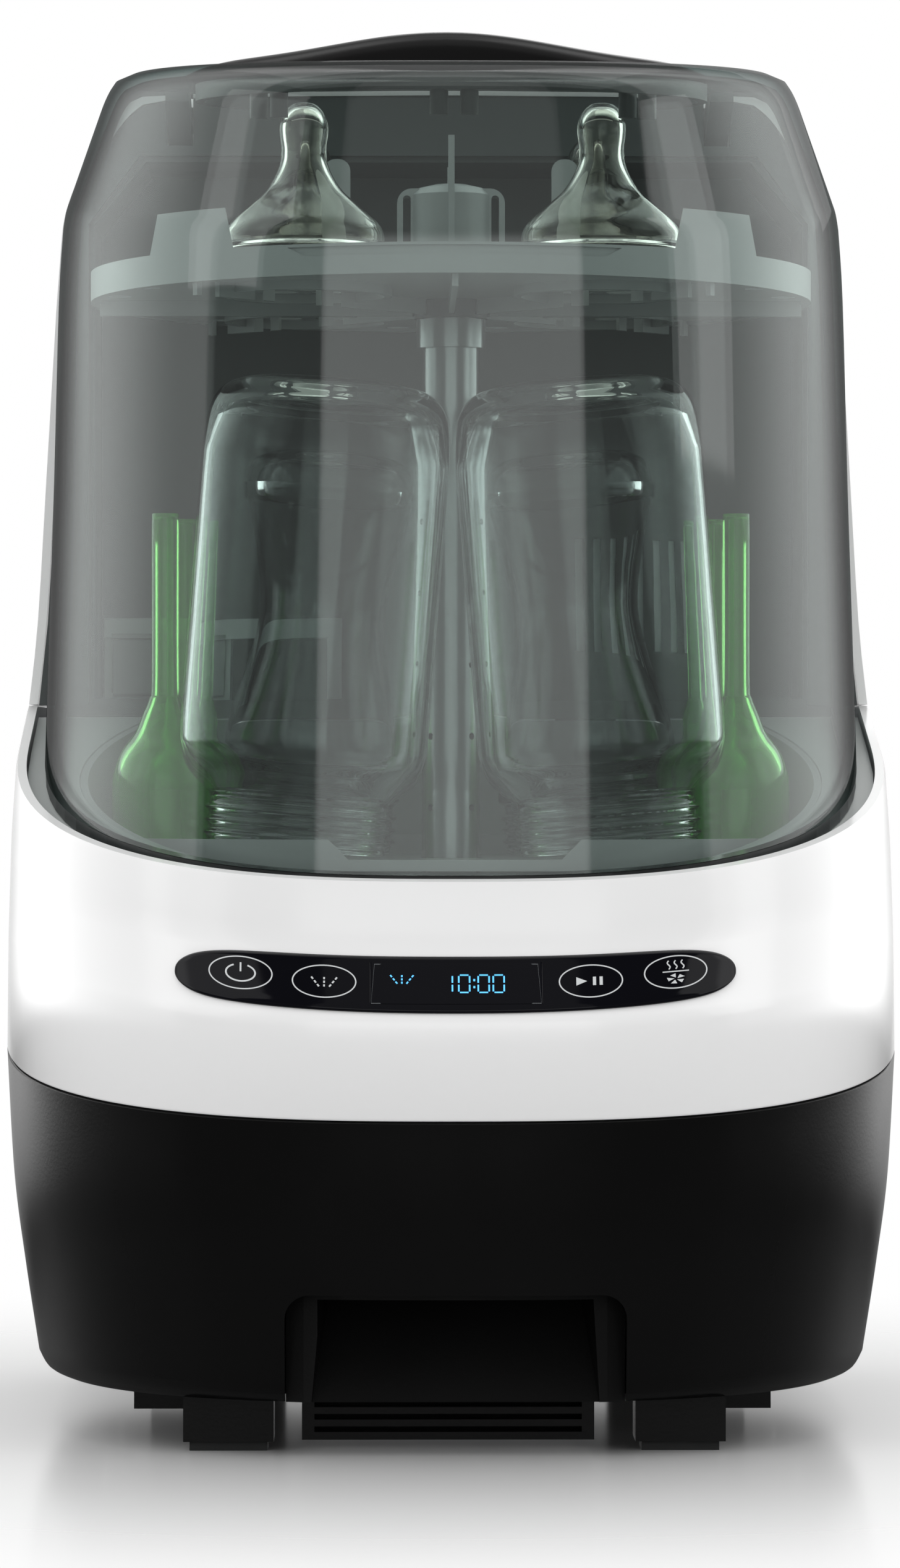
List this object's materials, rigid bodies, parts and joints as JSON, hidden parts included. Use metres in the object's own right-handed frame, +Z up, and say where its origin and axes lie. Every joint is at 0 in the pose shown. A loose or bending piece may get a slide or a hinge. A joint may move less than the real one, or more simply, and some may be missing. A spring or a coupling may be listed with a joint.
{
  "type": "bottle sterilizer",
  "caption": "Countertop bottle washer, steriliser and dryer with a clear hinged hood, round racks, sloping touch panel and rear water tanks.",
  "frame": {"origin": "on the table under the middle of the casing", "axes": "+Z up, -Y the front with the control panel, +X to the right seen from the front"},
  "size_m": [0.3, 0.35, 0.485],
  "materials": {
    "black_satin": "satin",
    "black_gloss": "polished",
    "white_gloss": "high gloss",
    "grey_plastic": "satin",
    "dark_plastic": "matte",
    "rubber": "matte",
    "tinted_clear": "polished, smoke tinted",
    "clear": "polished",
    "silicone": "soft gloss",
    "green_clear": "polished",
    "tank_clear": "polished",
    "steel": "brushed",
    "board": "matte",
    "filter_paper": "pleated",
    "display_glass": "polished"
  },
  "bodies": {
    "casing": {"base_shell": "black_satin", "base_plate": "black_satin", "grip_insert": "black_satin", "foot_blocks": "black_satin", "rubber_feet": "rubber", "underside_cover": "black_satin", "base_screws": "steel", "middle_band": "white_gloss", "control_panel": "black_gloss", "display_window": "display_glass", "display_module": "dark_plastic", "control_board": "board", "rear_housing": "white_gloss", "housing_bezel": "dark_plastic", "chamber_liner": "dark_plastic", "chamber_deck": "grey_plastic", "chamber_tub": "grey_plastic", "hood_gasket": "rubber", "sump_filter": "steel", "spray_tower": "grey_plastic", "tower_collar": "grey_plastic", "lower_rack": "grey_plastic", "rack_legs": "grey_plastic", "upper_rack": "grey_plastic", "rack_cage": "grey_plastic", "steam_heater": "steel", "wash_pump": "dark_plastic", "wash_pump_motor": "steel", "drain_pump": "dark_plastic", "drain_pump_motor": "steel", "blower_housing": "dark_plastic", "blower_motor": "steel", "air_duct": "dark_plastic", "hepa_filter": "filter_paper", "power_inlet": "black_satin", "tank_bay": "white_gloss", "detergent_box": "grey_plastic", "hinge_brackets": "steel", "hinge_pins": "steel", "top_cap": "black_satin", "bottle_front_left": "clear", "bottle_front_right": "clear", "bottle_rear_left": "clear", "bottle_rear_right": "clear", "teats": "silicone", "vent_tubes": "green_clear"},
    "hood": {"hood_shell": "tinted_clear", "hood_arms": "dark_plastic", "ceiling_ring": "grey_plastic"},
    "arm": {"spray_arm": "grey_plastic"},
    "wash_rotor": {"wash_pump_impeller": "grey_plastic"},
    "drain_rotor": {"drain_pump_impeller": "grey_plastic"},
    "blower_rotor": {"blower_wheel": "grey_plastic"},
    "filter_door": {"filter_cover": "black_satin"},
    "clean_water_tank": {"clean_tank": "tank_clear", "clean_tank_lid": "white_gloss"},
    "waste_water_tank": {"waste_tank": "tank_clear", "waste_tank_lid": "grey_plastic"},
    "detergent_flap": {"detergent_door": "grey_plastic"}
  },
  "joints": [
    {"name": "hood_hinge", "type": "hinge", "parent": "casing", "child": "hood", "pos_m": [0, 0.062, 0.441], "axis": [-1, 0, 0], "range_deg": [0, 78]},
    {"name": "spray_arm_spin", "type": "hinge", "parent": "casing", "child": "arm", "pos_m": [0, -0.026, 0.17], "axis": [0, 0, 1], "continuous": true},
    {"name": "wash_pump_spin", "type": "hinge", "parent": "casing", "child": "wash_rotor", "pos_m": [-0.064, -0.026, 0.085], "axis": [0, 0, 1], "continuous": true},
    {"name": "drain_pump_spin", "type": "hinge", "parent": "casing", "child": "drain_rotor", "pos_m": [0.066, -0.026, 0.085], "axis": [0, 0, 1], "continuous": true},
    {"name": "blower_spin", "type": "hinge", "parent": "casing", "child": "blower_rotor", "pos_m": [-0.022, 0.084, 0.06], "axis": [0, 0, 1], "continuous": true},
    {"name": "filter_cover_hinge", "type": "hinge", "parent": "casing", "child": "filter_door", "pos_m": [0, 0.1618, 0.0398], "axis": [-1, 0, 0], "range_deg": [0, 85]},
    {"name": "clean_tank_slide", "type": "slide", "parent": "casing", "child": "clean_water_tank", "axis": [0, 1, 0], "range_m": [0, 0.07]},
    {"name": "waste_tank_slide", "type": "slide", "parent": "casing", "child": "waste_water_tank", "axis": [0, 1, 0], "range_m": [0, 0.07]},
    {"name": "detergent_door_hinge", "type": "hinge", "parent": "casing", "child": "detergent_flap", "pos_m": [-0.102, 0.0785, 0.2465], "axis": [1, 0, 0], "range_deg": [0, 80]}
  ]
}
